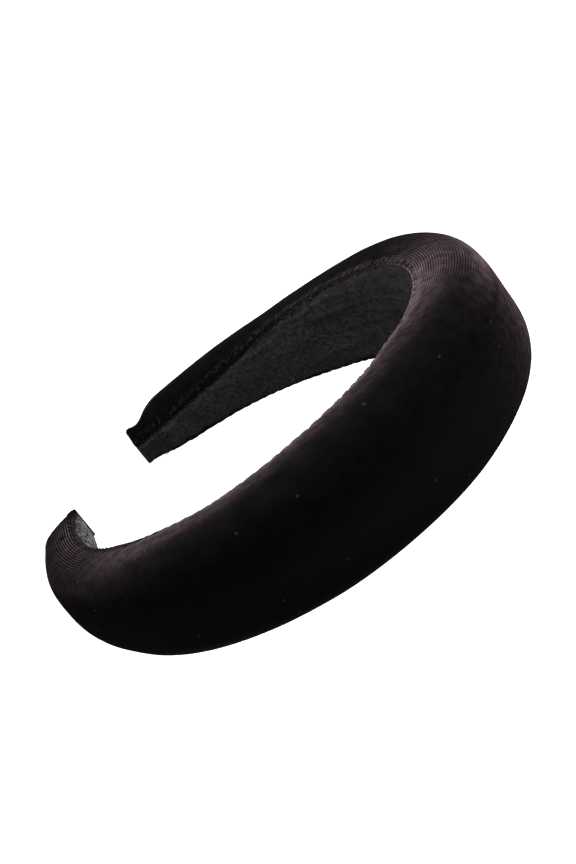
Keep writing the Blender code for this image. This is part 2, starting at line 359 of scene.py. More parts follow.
def unevenness(s, across):
    """Slow swells and hollows of hand-laid padding."""
    swell = 0.00045 * value_noise(s / 0.030 + 7.3, across / 0.020, 41)
    dent = 0.00010 * value_noise(s / 0.010, across / 0.010 + 3.1, 42)
    return (swell + dent) * smooth_step((HALF_LENGTH - 0.004 - np.abs(s)) / 0.02)


def gathered(s, from_seam):
    """How freely the cover wrinkles: most beside the seams, hardly where it is pulled over the pad or a tip."""
    beside_seam = smooth_step(from_seam / 0.0015) * (1 - smooth_step((from_seam - 0.0025) / 0.0060))
    return (0.12 + 0.88 * beside_seam) * smooth_step((s + 0.150) / 0.030)


def pinch(s, from_seam, edge):
    """Depth of the small pit beside the left tab, where the front seam's gathers are pulled together."""
    if edge == REAR:
        return 0.0
    place_s, place_seam = PINCH_PLACE
    return PINCH_DEPTH * smooth_step(1 - np.hypot(s - place_s, from_seam - place_seam) / PINCH_RADIUS)


def grid_normals(points):
    """Unit normals of a grid of points, from its rows and columns."""
    along = np.gradient(points, axis=0)
    across = np.gradient(points, axis=1)
    normal = np.cross(along, across)
    return normal / np.maximum(np.linalg.norm(normal, axis=-1, keepdims=True), 1e-12)


def cover_half(s, edge, wrinkles):
    """Relief points of one half of the cover, rows from the seam to the top middle, and their stored values."""
    y, n, from_seam, from_top = resampled_half(s, edge)
    stations = s[:, None]
    across = edge * from_top
    points = place(bulged_end(stations, y), y, n)
    normal = grid_normals(points) * -edge
    strength = rib_strength(stations, from_seam, from_top)
    phase = rib_phase(stations, from_seam)
    lift = RIB_HEIGHT * strength * np.sin(phase)
    lift = lift + puckers(stations, from_seam, edge) + unevenness(stations, across)
    if wrinkles is not None:
        half_share = 0.5 * from_seam / (from_seam + from_top)
        share = half_share if edge == FRONT else 1 - half_share
        lift = lift + wrinkle_height(wrinkles, stations, share) * gathered(stations, from_seam)
    lift = (lift - pinch(stations, from_seam, edge)) * smooth_step(end_closing(stations))
    over_hoop = (np.abs(y) < hoop_half_width(stations) + LAYER_CLEARANCE) & (n < HOOP_BASE)
    lift = np.maximum(lift, np.where(over_hoop, n - HOOP_BASE + LAYER_CLEARANCE, -THICKEST_DIP))
    points = points + normal * lift[..., None]
    along = np.broadcast_to(stations, y.shape)
    return points, along, across, from_seam, phase, strength


# ---- soft layers settled by cloth simulation ----


def sleeve_rings(stations):
    """The sewn sleeve as rings of points: over the top from the front seam to the rear one, and back under."""
    tops = []
    for edge in (FRONT, REAR):
        y, n = section(stations, edge)
        steps = np.hypot(np.diff(y, axis=1), np.diff(n, axis=1))
        run = np.concatenate([np.zeros((len(stations), 1)), np.cumsum(steps, axis=1)], axis=1)
        share = np.linspace(0.0, 1.0, SIM_TOP_COLUMNS // 2 + 1)
        wanted = run[:, -1:] * share[None, :]
        rows = range(len(stations))
        tops.append([np.stack([np.interp(wanted[i], run[i], part[i]) for i in rows]) for part in (y, n)])
    (front_y, front_n), (rear_y, rear_n) = tops
    top_y = np.concatenate([front_y[:, ::-1], rear_y[:, 1:]], axis=1)
    top_n = np.concatenate([front_n[:, ::-1], rear_n[:, 1:]], axis=1)
    share = np.linspace(0.0, 1.0, SIM_UNDER_COLUMNS + 1)[1:-1][None, :]
    under_y = top_y[:, -1:] + (top_y[:, :1] - top_y[:, -1:]) * share
    under_n = top_n[:, -1:] + (top_n[:, :1] - top_n[:, -1:]) * share
    y = np.concatenate([top_y, under_y], axis=1)
    n = np.concatenate([top_n, under_n], axis=1)
    return place(stations[:, None], y, n)


def add_sleeve_mesh(rings):
    """The sleeve at the simulation's scale, with the group of its held points: both seams and both ends."""
    stations, columns = rings.shape[:2]
    corner = np.arange(stations - 1)[:, None] * columns
    here, beside = np.arange(columns)[None, :], (np.arange(columns)[None, :] + 1) % columns
    faces = np.stack([corner + here, corner + beside, corner + columns + beside, corner + columns + here], axis=-1)
    mesh = bpy.data.meshes.new("sleeve")
    mesh.from_pydata((rings * SIM_SCALE).reshape(-1, 3).tolist(), [], faces.reshape(-1, 4).tolist())
    sleeve = bpy.data.objects.new("sleeve", mesh)
    bpy.context.scene.collection.objects.link(sleeve)
    held = np.zeros((stations, columns), bool)
    held[:, (0, SIM_TOP_COLUMNS)] = True
    held[(0, -1), :] = True
    sleeve.vertex_groups.new(name="held").add(np.flatnonzero(held.ravel()).tolist(), 1.0, "REPLACE")
    return sleeve


def run_cloth(sleeve):
    """Inflates the sleeve with its seams held and gives its settled points. The sleeve is taken away after."""
    cloth = sleeve.modifiers.new("cloth", "CLOTH")
    settings = cloth.settings
    settings.vertex_group_mass = "held"
    settings.mass = 0.03
    settings.quality = 6
    settings.tension_stiffness = settings.compression_stiffness = 12.0
    settings.shear_stiffness = 4.0
    settings.bending_stiffness = 0.05
    settings.shrink_min = -SIM_EXCESS
    settings.use_pressure = True
    settings.uniform_pressure_force = SIM_PRESSURE
    settings.effector_weights.gravity = 0.0
    cloth.point_cache.frame_start, cloth.point_cache.frame_end = 1, SIM_FRAMES
    scene = bpy.context.scene
    for number in range(1, SIM_FRAMES + 1):
        scene.frame_set(number)
    settled = sleeve.evaluated_get(bpy.context.evaluated_depsgraph_get()).data
    points = np.zeros(len(settled.vertices) * 3, np.float32)
    settled.vertices.foreach_get("co", points)
    scene.frame_set(1)
    mesh = sleeve.data
    bpy.data.objects.remove(sleeve)
    bpy.data.meshes.remove(mesh)
    return points.reshape(-1, 3) / SIM_SCALE


def without_broad_part(grid, cap):
    """The local wrinkles of a grid of heights, with its slow swelling taken away and no height above the cap."""
    rows, columns = SIM_BROAD_REACH
    padded = np.pad(grid, ((rows, rows), (columns, columns)), mode="edge")
    broad = np.lib.stride_tricks.sliding_window_view(padded, (2 * rows + 1, 2 * columns + 1)).mean(axis=(-1, -2))
    return cap * np.tanh((grid - broad) / cap)


def settle_sleeve():
    """Wrinkles of the sewn sleeve: heights out of the cover, and out of the lining, on their stations and columns.

    The sleeve is simulated at a larger scale, because the solver's stiffness suits cloth about a metre long.
    """
    rings = sleeve_rings(np.linspace(-SIM_REACH, SIM_REACH, SIM_STATIONS))
    shift = run_cloth(add_sleeve_mesh(rings)).reshape(rings.shape) - rings
    ahead = np.roll(rings, -1, axis=1) - np.roll(rings, 1, axis=1)
    normal = np.cross(ahead, np.gradient(rings, axis=0))
    normal = normal / np.maximum(np.linalg.norm(normal, axis=-1, keepdims=True), 1e-12)
    out = (shift * normal).sum(axis=-1)
    over = out[:, : SIM_TOP_COLUMNS + 1]
    under = np.concatenate([out[:, SIM_TOP_COLUMNS:], out[:, :1]], axis=1)
    return without_broad_part(over, SIM_COVER_CAP), without_broad_part(under, SIM_LINING_CAP)


def wrinkle_height(grid, s, share):
    """Smooth reading of a grid of wrinkle heights at s and at a share of the way across it, by cubic B-spline."""
    rows, columns = grid.shape
    row, column = np.broadcast_arrays((s + SIM_REACH) / (2 * SIM_REACH) * (rows - 1), share * (columns - 1))
    i, j = np.floor(row).astype(int), np.floor(column).astype(int)
    height = np.zeros(row.shape)
    for a, row_weight in enumerate(spline_weights(row - i)):
        for b, column_weight in enumerate(spline_weights(column - j)):
            nearest = grid[np.clip(i + a - 1, 0, rows - 1), np.clip(j + b - 1, 0, columns - 1)]
            height = height + row_weight * column_weight * nearest
    return height * smooth_step((SIM_REACH - np.abs(s)) / 0.004)


def spline_weights(t):
    return (1 - t) ** 3 / 6, (3 * t**3 - 6 * t**2 + 4) / 6, (1 + 3 * t + 3 * t**2 - 3 * t**3) / 6, t**3 / 6


# ---- meshes ----


def grid_faces(columns, rows, start=0, flip=False):
    """Corner indices of a grid whose vertices run along its rows first. Faces look along x across."""
    corner = np.arange(columns - 1)[:, None] * rows + np.arange(rows - 1)[None, :] + start
    order = [corner, corner + 1, corner + rows + 1, corner + rows]
    if flip:
        order.reverse()
    return np.stack(order, axis=-1).reshape(-1, 4).tolist()


def joining_faces(fine_edge, coarse_edge, flip=False):
    """Triangles between an edge and a coarser one with GATHER_DIVISION times fewer vertices."""
    faces = []
    half = GATHER_DIVISION // 2
    for i in range(len(coarse_edge) - 1):
        fine = fine_edge[i * GATHER_DIVISION : (i + 1) * GATHER_DIVISION + 1]
        near, far = coarse_edge[i], coarse_edge[i + 1]
        faces += [(fine[k], near, fine[k + 1]) for k in range(half)]
        faces.append((fine[half], near, far))
        faces += [(fine[k], far, fine[k + 1]) for k in range(half, GATHER_DIVISION)]
    return [tuple(reversed(f)) for f in faces] if flip else faces


def make_piece(name, points, faces, material, values=None):
    """A smooth-shaded piece from points and faces, with named values at its points for its material."""
    mesh = bpy.data.meshes.new(name)
    mesh.from_pydata(points.reshape(-1, 3).tolist(), [], faces)
    for key, numbers in (values or {}).items():
        attribute = mesh.attributes.new(key, "FLOAT", "POINT")
        attribute.data.foreach_set("value", np.asarray(numbers, np.float32).ravel())
    mesh.update()
    mesh.shade_smooth()
    mesh.materials.append(material)
    piece = bpy.data.objects.new(name, mesh)
    bpy.context.scene.collection.objects.link(piece)
    return piece


def cover_stations():
    """Stations from tip to tip, even along the band and close together round the folded ends."""
    straight = HALF_LENGTH - END_ROUNDING
    count = round(straight / LONG_STEP)
    turn = np.linspace(0.0, math.pi / 2, 7)[1:]
    right = np.concatenate([straight * np.arange(1, count + 1) / count, straight + END_ROUNDING * np.sin(turn)])
    return np.concatenate([-right[::-1], [0.0], right])


def add_velvet_cover(material, wrinkles):
    """One sheet from the front seam over the pad to the rear seam, finely divided along both seams."""
    coarse = cover_stations()
    count = len(coarse)
    fine = np.interp(np.arange(GATHER_DIVISION * (count - 1) + 1) / GATHER_DIVISION, np.arange(count), coarse)
    front, rear = (cover_half(coarse, edge, wrinkles) for edge in (FRONT, REAR))
    body = []
    for on_front, on_rear in zip(front, rear):
        body.append(np.concatenate([on_front[:, GATHER_ROWS:], on_rear[:, -2 : GATHER_ROWS - 1 : -1]], axis=1))
    blocks = [body]
    for edge in (FRONT, REAR):
        blocks.append([values[:, :GATHER_ROWS] for values in cover_half(fine, edge, wrinkles)])
    rows = body[1].shape[1]
    front_start = count * rows
    rear_start = front_start + len(fine) * GATHER_ROWS
    faces = grid_faces(count, rows)
    faces += grid_faces(len(fine), GATHER_ROWS, front_start)
    faces += grid_faces(len(fine), GATHER_ROWS, rear_start, flip=True)
    last = GATHER_ROWS - 1
    front_edge = [front_start + i * GATHER_ROWS + last for i in range(len(fine))]
    rear_edge = [rear_start + i * GATHER_ROWS + last for i in range(len(fine))]
    faces += joining_faces(front_edge, [i * rows for i in range(count)])
    faces += joining_faces(rear_edge, [i * rows + rows - 1 for i in range(count)], flip=True)
    joined = [np.concatenate([part.reshape(-1, *part.shape[2:]) for part in parts]) for parts in zip(*blocks)]
    values = dict(zip(("along", "across", "from_seam", "rib_phase", "rib_strength"), joined[1:]))
    return make_piece("velvet_cover", joined[0], faces, material, values)


def add_inner_lining(material, wrinkles):
    """The woven sheet on the inner face, sewn in along both seams, with long shallow wrinkles."""
    reach = HALF_LENGTH - 0.0001
    s = np.linspace(-reach, reach, round(2 * reach / LINING_STEP) + 1)[:, None]
    share = np.linspace(-1.0, 1.0, LINING_ROWS)[None, :]
    y = share * lining_half_width(s, share)
    n, from_edge = lining_height(s, y, wrinkles)
    points = place(bulged_end(s, y), y, n)
    faces = grid_faces(s.shape[0], LINING_ROWS)
    values = {"along": np.broadcast_to(s, y.shape), "across": y, "from_seam": from_edge}
    return make_piece("inner_lining", points, faces, material, values)


def lining_half_width(s, y):
    """How far the seam is from the middle of the band, on the side that y lies on."""
    return np.where(y > 0, seam_half_width(s, FRONT), seam_half_width(s, REAR))


def lining_height(s, y, wrinkles):
    """The lining's height at a place on the band, and that place's distance from the seam."""
    half = lining_half_width(s, y)
    share = y / half
    from_edge = half - np.abs(y)
    teeth = 0.0011 + 0.0007 * value_noise(s / 0.0012, 0.0, 53) + 0.0005 * value_noise(s / 0.0035, 0.0, 54)
    tuck = (SEAM_DEPTH + 0.0002) * (1 - smooth_step(from_edge / teeth))
    wrinkle = value_noise(s / 0.020 - y / 0.014, y / 0.0048 + s / 0.045, 51)
    crease = value_noise(s / 0.030 + y / 0.012, y / 0.0040 - s / 0.040, 52)
    crease = -smooth_step(1 - np.abs(crease) / 0.16)
    gathers = 0.6 * puckers(s, from_edge, FRONT) + 0.3 * puckers(s, from_edge, REAR)
    middle = smooth_step(from_edge / 0.003)
    n = tuck - 0.00035 * (1 - share**2) - 0.00042 * wrinkle * middle + 0.00032 * crease * middle - gathers
    if wrinkles is not None:
        n = n - wrinkle_height(wrinkles, s, (share + 1) / 2) * smooth_step(from_edge / 0.0015)
    return n * smooth_step((HALF_LENGTH - np.abs(s)) / 0.003), from_edge


def closed_tube_faces(columns, rows):
    """Faces of a closed solid whose columns are rings, with its two end rings capped."""
    faces = []
    for i in range(columns - 1):
        for j in range(rows):
            k = (j + 1) % rows
            faces.append((i * rows + j, i * rows + k, (i + 1) * rows + k, (i + 1) * rows + j))
    faces.append(tuple(reversed(range(rows))))
    faces.append(tuple((columns - 1) * rows + j for j in range(rows)))
    return faces


def add_strip(name, half_widths, base, top, reach, material, step=0.003):
    """A flat springy strip between two heights above the inner face, with rounded edges."""
    s = np.linspace(-reach, reach, round(2 * reach / step) + 1)
    ease = min(0.0006, (top - base) * 0.35)
    width = half_widths(s)[:, None]
    side_y = np.concatenate([width - ease, width, width, width - ease], axis=1)
    side_n = np.array([base, base + ease, top - ease, top])[None, :] + 0 * width
    y = np.concatenate([side_y, -side_y[:, ::-1]], axis=1)
    n = np.concatenate([side_n, side_n[:, ::-1]], axis=1)
    points = place(s[:, None], y, n)
    piece = make_piece(name, points, closed_tube_faces(len(s), y.shape[1]), material, {"along": s[:, None] + 0 * y})
    piece.data.set_sharp_from_angle(angle=math.radians(35))
    return piece


def hoop_half_width(s):
    return np.maximum(0.0042, half_width(s) - 0.0047)


def add_core_hoop(material):
    return add_strip("core_hoop", hoop_half_width, HOOP_BASE, TAPE_BASE - GAP, HALF_LENGTH - 0.0020, material)


def add_foam_tape(material):
    def tape_half_width(s):
        return hoop_half_width(s) - 0.0010

    return add_strip("foam_tape", tape_half_width, TAPE_BASE, FOAM_BASE - GAP, FOAM_REACH - 0.001, material)


def add_foam_pad(material):
    """The pad between the hoop and the cover: the cover's outline moved inward and cut flat underneath."""
    s = np.linspace(-FOAM_REACH, FOAM_REACH, 151)
    rings_y, rings_n = [], []
    for edge in (FRONT, REAR):
        y, n = section(s, edge, inset=FOAM_INSET, samples=24)
        rings_y.append(y)
        rings_n.append(np.maximum(n, FOAM_BASE))
    y = np.concatenate([rings_y[0][:, ::-1], rings_y[1][:, 1:]], axis=1)
    n = np.concatenate([rings_n[0][:, ::-1], rings_n[1][:, 1:]], axis=1)
    points = place(s[:, None], y, n)
    faces = closed_tube_faces(len(s), y.shape[1])
    return make_piece("foam_pad", points, faces, material, {"along": s[:, None] + 0 * y})


def add_seam_thread(name, edge, material):
    """A row of short stitches in the groove between the velvet and the lining."""
    reach = HALF_LENGTH - 0.004
    starts = np.arange(-reach, reach - STITCH_PITCH, STITCH_PITCH)
    t = np.linspace(0.0, 1.0, 9)
    s = (starts[:, None] + STITCH_LENGTH * t[None, :]).ravel()
    arch = np.tile(np.sin(math.pi * t), len(starts))
    lean = np.tile(t - 0.5, len(starts)) * STITCH_LEAN
    y = edge * (seam_half_width(s, edge) + lean)
    n = SEAM_DEPTH + 0.0001 - STITCH_ARCH * arch
    angles = np.linspace(0.0, 2 * math.pi, 6, endpoint=False)
    ring_y = y[:, None] + THREAD_RADIUS * np.cos(angles)[None, :]
    ring_n = n[:, None] + THREAD_RADIUS * np.sin(angles)[None, :]
    points = place(s[:, None], ring_y, ring_n)
    rows, columns = len(angles), len(t)
    one = closed_tube_faces(columns, rows)
    faces = []
    for i in range(len(starts)):
        faces += [tuple(v + i * columns * rows for v in face) for face in one]
    return make_piece(name, points, faces, material, {"along": s[:, None] + 0 * ring_y})


def add_tip_seal(name, side, material, wrinkles):
    """The puddle of clear adhesive on the inner face of a tab, crinkled as it dried."""
    seed = 61 if side == LEFT else 71
    t = np.linspace(0.0, 1.0, round(SEAL_LENGTHS[side] / SEAL_STEP))[:, None]
    share = np.linspace(-1.0, 1.0, SEAL_ROWS)[None, :]
    wobble = 0.0006 * value_noise(t * 6, np.sign(share), seed)
    end = SEAL_ENDS[side] - SEAL_SLANTS[side] * (1 - share) / 2
    s = end - SEAL_LENGTHS[side] * (1 - t) - 0.0014 * share**2 * (1 - t)
    margin = np.where(share < 0, SEAL_REAR_MARGIN, SEAL_FRONT_MARGIN)
    rounding = np.sqrt(np.clip(1 - (1 - t) ** 6, 0.05, 1.0))
    y = share * (lining_half_width(side * s, share) - margin + wobble) * rounding
    fold = value_noise(s / 0.0012 + y / 0.0030, y / 0.0011, seed + 1)
    crease = value_noise(s / 0.0021 - y / 0.0016, y / 0.0019, seed + 2)
    crinkle = 0.00015 * (1 - np.abs(fold)) + 0.00018 * (1 - np.abs(crease)) ** 2
    rim = smooth_step((1 - np.abs(share)) / 0.16) * smooth_step(t / 0.10) * smooth_step((1 - t) / 0.06)
    puddle = 0.0001 * (1 - share**2)
    top = -(0.00008 + crinkle + puddle) * rim * SEAL_BODIES[side] - 0.00010
    cloth, _ = lining_height(side * s, y, wrinkles)
    upper = place(side * s, y, cloth + top)
    lower = place(side * s, y, cloth + 0.00025)
    points = np.concatenate([upper.reshape(-1, 3), lower.reshape(-1, 3)])
    columns, rows = upper.shape[:2]
    flip = side == LEFT
    faces = grid_faces(columns, rows, 0, flip=flip)
    faces += grid_faces(columns, rows, columns * rows, flip=not flip)
    faces += rim_faces(columns, rows, flip)
    values = {"along": np.concatenate([side * s, side * s]), "across": np.concatenate([y, y])}
    return make_piece(name, points, faces, material, values)


def rim_faces(columns, rows, flip):
    """Side faces that join two stacked grids of the same size along their outlines."""
    outline = [j for j in range(rows)]
    outline += [i * rows + rows - 1 for i in range(1, columns)]
    outline += [(columns - 1) * rows + j for j in range(rows - 2, -1, -1)]
    outline += [i * rows for i in range(columns - 2, 0, -1)]
    shift = columns * rows
    faces = []
    for a, b in zip(outline, outline[1:] + outline[:1]):
        face = (a, b, b + shift, a + shift)
        faces.append(tuple(reversed(face)) if not flip else face)
    return faces


def bend_with_crown(piece):
    """Bakes a piece's placement into its mesh and reads its along values, which are not used further.
    """
    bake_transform(piece)
    along = np.zeros(len(piece.data.vertices), np.float32)
    piece.data.attributes["along"].data.foreach_get("value", along)


# ---- materials ----


class Graph:
    """Short calls for building one material's nodes round its Principled shader."""

    def __init__(self, name):
        self.material = bpy.data.materials.new(name)
        self.material.use_nodes = True
        self.tree = self.material.node_tree
        self.shader = self.tree.nodes["Principled BSDF"]

    def set(self, socket, value):
        if isinstance(value, bpy.types.NodeSocket):
            self.tree.links.new(value, socket)
        else:
            socket.default_value = value

    def finish(self, **inputs):
        """Sets the shader's inputs, with underscores for the spaces in their names, and gives the material."""
        for name, value in inputs.items():
            self.set(self.shader.inputs[name.replace("_", " ")], value)
        return self.material

    def stored(self, name):
        """A named value of the mesh, in metres along, across or from a seam."""
        node = self.tree.nodes.new("ShaderNodeAttribute")
        node.attribute_name = name
        return node.outputs["Fac"]

    def maths(self, operation, a, b=0.0, clamp=False):
        node = self.tree.nodes.new("ShaderNodeMath")
        node.operation = operation
        node.use_clamp = clamp
        self.set(node.inputs[0], a)
        self.set(node.inputs[1], b)
        return node.outputs[0]

    def vector(self, x, y, z=0.0):
        node = self.tree.nodes.new("ShaderNodeCombineXYZ")
        for socket, value in zip(node.inputs, (x, y, z)):
            self.set(socket, value)
        return node.outputs[0]

    def noise(self, vector, pitch, detail=2.0, roughness=0.5):
        """Noise from 0 to 1 whose largest features are about pitch metres wide."""
        node = self.tree.nodes.new("ShaderNodeTexNoise")
        node.inputs["Scale"].default_value = 1 / pitch
        node.inputs["Detail"].default_value = detail
        node.inputs["Roughness"].default_value = roughness
        self.set(node.inputs["Vector"], vector)
        return node.outputs["Fac"]

    def remap(self, value, low, high, to_low=0.0, to_high=1.0):
        node = self.tree.nodes.new("ShaderNodeMapRange")
        node.interpolation_type = "SMOOTHSTEP"
        for name, number in zip(("From Min", "From Max", "To Min", "To Max"), (low, high, to_low, to_high)):
            node.inputs[name].default_value = number
        self.set(node.inputs["Value"], value)
        return node.outputs["Result"]

    def blend(self, factor, a, b):
        """Mixes two colours."""
        node = self.tree.nodes.new("ShaderNodeMix")
        node.data_type = "RGBA"
        self.set(node.inputs["Factor"], factor)
        sockets = [s for s in node.inputs if s.type == "RGBA"]
        for socket, value in zip(sockets, (a, b)):
            self.set(socket, (*value, 1.0) if isinstance(value, tuple) else value)
        return next(s for s in node.outputs if s.type == "RGBA")

    def product(self, a, b):
        """Multiplies two colours."""
        node = self.tree.nodes.new("ShaderNodeVectorMath")
        node.operation = "MULTIPLY"
        self.set(node.inputs[0], a)
        self.set(node.inputs[1], b)
        return node.outputs[0]

    def bump(self, height, distance, strength=1.0, normal=None):
        node = self.tree.nodes.new("ShaderNodeBump")
        node.inputs["Strength"].default_value = strength
        node.inputs["Distance"].default_value = distance
        self.set(node.inputs["Height"], height)
        if normal is not None:
            self.set(node.inputs["Normal"], normal)
        return node.outputs["Normal"]


def velvet_material():
    """Black cut pile: almost no light straight on, a pinkish grey bloom at a slant, mottled by the nap."""
    graph = Graph("black_velvet_pile")
    along, across = graph.stored("along"), graph.stored("across")
    spot = graph.vector(along, across)
    nap = graph.noise(spot, 0.0050, detail=4.0, roughness=0.65)
    brushed = graph.noise(spot, 0.0026, detail=3.0, roughness=0.6)
    tufts = graph.noise(spot, 0.0006, detail=2.0, roughness=0.6)
    row = graph.maths("MULTIPLY", graph.maths("SINE", graph.stored("rib_phase")), graph.stored("rib_strength"))
    row = graph.maths("MAXIMUM", graph.maths("ADD", graph.maths("MULTIPLY", row, 2.2), 1.0), 0.05)
    colour = graph.blend(graph.remap(nap, 0.3, 0.7), (0.0020, 0.0021, 0.0020), (0.0033, 0.0034, 0.0033))
    # painted light: the velvet's colour is lighter towards the rear edge, where the key light reaches little
    rear_painted_light = graph.remap(across, -0.012, 0.012, 1.0, 0.0)
    colour = graph.blend(rear_painted_light, colour, (0.0058, 0.0059, 0.0058))
    # painted sheen: lighter patches on the right arm's gathers beside the seams
    colour = graph.blend(gather_painted_sheen(graph, spot, along), colour, (0.013, 0.0125, 0.0115))
    colour = graph.blend(lint(graph, spot), colour, (0.16, 0.155, 0.16))
    tint = graph.blend(graph.remap(nap, 0.25, 0.75), (0.72, 0.50, 0.60), (1.0, 0.71, 0.84))
    shade = graph.remap(brushed, 0.3, 0.7, 0.60, 1.30)
    shade = graph.maths("MULTIPLY", graph.maths("MULTIPLY", shade, row), nap_bloom(graph, along, across))
    normal = graph.bump(nap, 0.0004, 0.4)
    normal = graph.bump(tufts, 0.00014, 0.6, normal)
    return graph.finish(
        Base_Color=colour,
        Roughness=0.9,
        Specular_IOR_Level=0.0,
        Sheen_Weight=graph.maths("MULTIPLY", shade, SHEEN),
        Sheen_Roughness=0.32,
        Sheen_Tint=tint,
        Normal=normal,
    )


def gather_painted_sheen(graph, spot, along):
    """Above 0 in patches on the gathers beside the seams of the right arm: painted sheen, a lighter colour standing in
    for light catching them.
    """
    from_seam = graph.stored("from_seam")
    inner, outer = graph.remap(from_seam, 0.0008, 0.0016), graph.remap(from_seam, 0.0026, 0.0042, 1.0, 0.0)
    band = graph.maths("MULTIPLY", graph.maths("MULTIPLY", inner, outer), graph.remap(along, 0.020, 0.060))
    return graph.maths("MULTIPLY", band, graph.remap(graph.noise(spot, 0.0013, detail=3.0), 0.44, 0.68))


def nap_bloom(graph, along, across):
    """How much the pile blooms: less where it lies flat, on the right arm's front roll, the left arm and the rear."""
    down_arm = graph.remap(along, 0.024, 0.080)
    on_roll = graph.remap(across, 0.010, 0.017)
    beyond_gathers = graph.remap(graph.stored("from_seam"), 0.0020, 0.0042, 0.30, 1.0)
    flat = graph.maths("MULTIPLY", graph.maths("MULTIPLY", down_arm, on_roll), beyond_gathers)
    standing = graph.maths("SUBTRACT", 1.0, graph.maths("MULTIPLY", flat, 0.92))
    left_arm = graph.remap(along, -0.130, -0.070, 0.50, 1.0)
    left_tip = graph.remap(along, -0.166, -0.150, 0.95, 0.50)
    standing = graph.maths("MULTIPLY", standing, graph.maths("MAXIMUM", left_arm, left_tip))
    left_roll = graph.remap(across, 0.006, 0.016, 0.35, 1.0)
    before_left = graph.remap(along, -0.120, -0.075, 0.35, 1.0)
    standing = graph.maths("MULTIPLY", standing, graph.maths("MAXIMUM", left_roll, before_left))
    from_bend = graph.maths("ABSOLUTE", graph.maths("SUBTRACT", along, 0.032))
    standing = graph.maths("MULTIPLY", standing, graph.remap(from_bend, 0.0, 0.028, 1.6, 1.0))
    standing = graph.maths("MULTIPLY", standing, pit_shade(graph, along, across))
    right_face = graph.remap(along, 0.060, 0.110, 0.05, 0.50)
    rear_roll = graph.remap(across, -0.029, -0.021, 0.60, 0.0)
    front_roll = graph.remap(across, 0.002, 0.034, 0.0, 0.68)
    bloom = graph.maths("MAXIMUM", graph.maths("MAXIMUM", right_face, rear_roll), front_roll)
    return graph.maths("MULTIPLY", standing, bloom)


def pit_shade(graph, along, across):
    """Dark in the pinched pit beside the left tab, 1 elsewhere."""
    here = graph.vector(along, graph.stored("from_seam"), graph.maths("MINIMUM", across, 0.0))
    node = graph.tree.nodes.new("ShaderNodeVectorMath")
    node.operation = "DISTANCE"
    graph.set(node.inputs[0], here)
    graph.set(node.inputs[1], (*PINCH_PLACE, 0.0))
    return graph.remap(node.outputs["Value"], 0.0007, 0.0019, 0.04, 1.0)


def lint(graph, spot):
    """Above 0 on a few specks of pale dust, 0 elsewhere."""
    specks = graph.tree.nodes.new("ShaderNodeTexVoronoi")
    specks.voronoi_dimensions = "2D"
    specks.inputs["Scale"].default_value = 1 / 0.0075
    graph.set(specks.inputs["Vector"], spot)
    chosen = graph.maths("GREATER_THAN", specks.outputs["Color"], 0.72)
    near = graph.remap(specks.outputs["Distance"], 0.020, 0.070, 1.0, 0.0)
    return graph.maths("MULTIPLY", graph.maths("MULTIPLY", chosen, near), 0.12)


def lining_material():
    """Dull woven polyester: crossing yarns under half a millimetre apart, with thick and thin places."""
    graph = Graph("lining_woven")
    along, across = graph.stored("along"), graph.stored("across")
    spot = graph.vector(along, across)
    warp = yarns(graph, along, 0.00050)
    weft = yarns(graph, across, 0.00046)
    crossing = graph.maths("MULTIPLY", signed(graph, along), signed(graph, across))
    over = graph.maths("GREATER_THAN", crossing, 0.0)
    under = graph.maths("SUBTRACT", 1.0, over)
    weave = graph.maths("ADD", graph.maths("MULTIPLY", warp, over), graph.maths("MULTIPLY", weft, under))
    slub_along = graph.noise(graph.vector(graph.maths("MULTIPLY", along, 0.4), across), 0.0008, detail=2.0)
    slub_across = graph.noise(graph.vector(along, graph.maths("MULTIPLY", across, 0.4)), 0.0008, detail=2.0)
    slub = graph.maths("ADD", slub_along, slub_across)
    stain = graph.noise(spot, 0.009, detail=4.0, roughness=0.6)
    tone = graph.maths("ADD", graph.maths("MULTIPLY", weave, 0.40), slub)
    colour = graph.blend(graph.remap(tone, 0.90, 1.50), (0.0026, 0.0024, 0.0024), (0.037, 0.0330, 0.0339))
    colour = graph.blend(graph.remap(stain, 0.40, 0.70, 0.0, 0.5), colour, (0.0105, 0.0104, 0.0088))
    # painted shade: the lining's colour darkens towards the right tip
    right_tip_painted_shade = graph.remap(along, 0.100, 0.160)
    colour = graph.product(colour, graph.blend(right_tip_painted_shade, (1.0, 1.0, 1.0), (0.70, 0.73, 0.65)))
    soaked = graph.remap(along, -0.149, -0.145, 0.85, 0.0)
    colour = graph.blend(soaked, colour, (0.0016, 0.0016, 0.0016))
    # painted shade: the lining darkens in the seam's groove, except in patches where the tuck catches the light
    catching = graph.noise(graph.vector(along, 0.0), 0.0011, detail=1.0)
    groove = graph.remap(graph.stored("from_seam"), 0.0002, 0.0011, 1.0, 0.0)
    groove = graph.maths("MULTIPLY", groove, graph.remap(catching, 0.48, 0.60, 1.0, 0.0))
    colour = graph.blend(groove, colour, (0.0008, 0.0008, 0.0008))
    normal = graph.bump(weave, 0.00012, 0.9)
    normal = graph.bump(slub, 0.00035, 0.8, normal)
    return graph.finish(
        Base_Color=colour,
        Roughness=0.8,
        Specular_IOR_Level=0.08,
        Sheen_Weight=0.03,
        Sheen_Roughness=0.5,
        Normal=normal,
    )


def yarns(graph, position, pitch):
    """Height of round yarns, one every pitch."""
    wave = graph.maths("SINE", graph.maths("MULTIPLY", position, 2 * math.pi / pitch))
    return graph.maths("MULTIPLY", graph.maths("ADD", wave, 1.0), 0.5)


def signed(graph, position, pitch=0.00048):
    return graph.maths("SINE", graph.maths("MULTIPLY", position, math.pi / pitch))


def thread_material():
    graph = Graph("thread_twist")
    ply = yarns(graph, graph.stored("along"), 0.00045)
    colour = graph.blend(ply, (0.002, 0.002, 0.002), (0.016, 0.015, 0.016))
    return graph.finish(
        Base_Color=colour,
        Roughness=0.7,
        Specular_IOR_Level=0.1,
        Normal=graph.bump(ply, 0.00008, 0.8),
    )


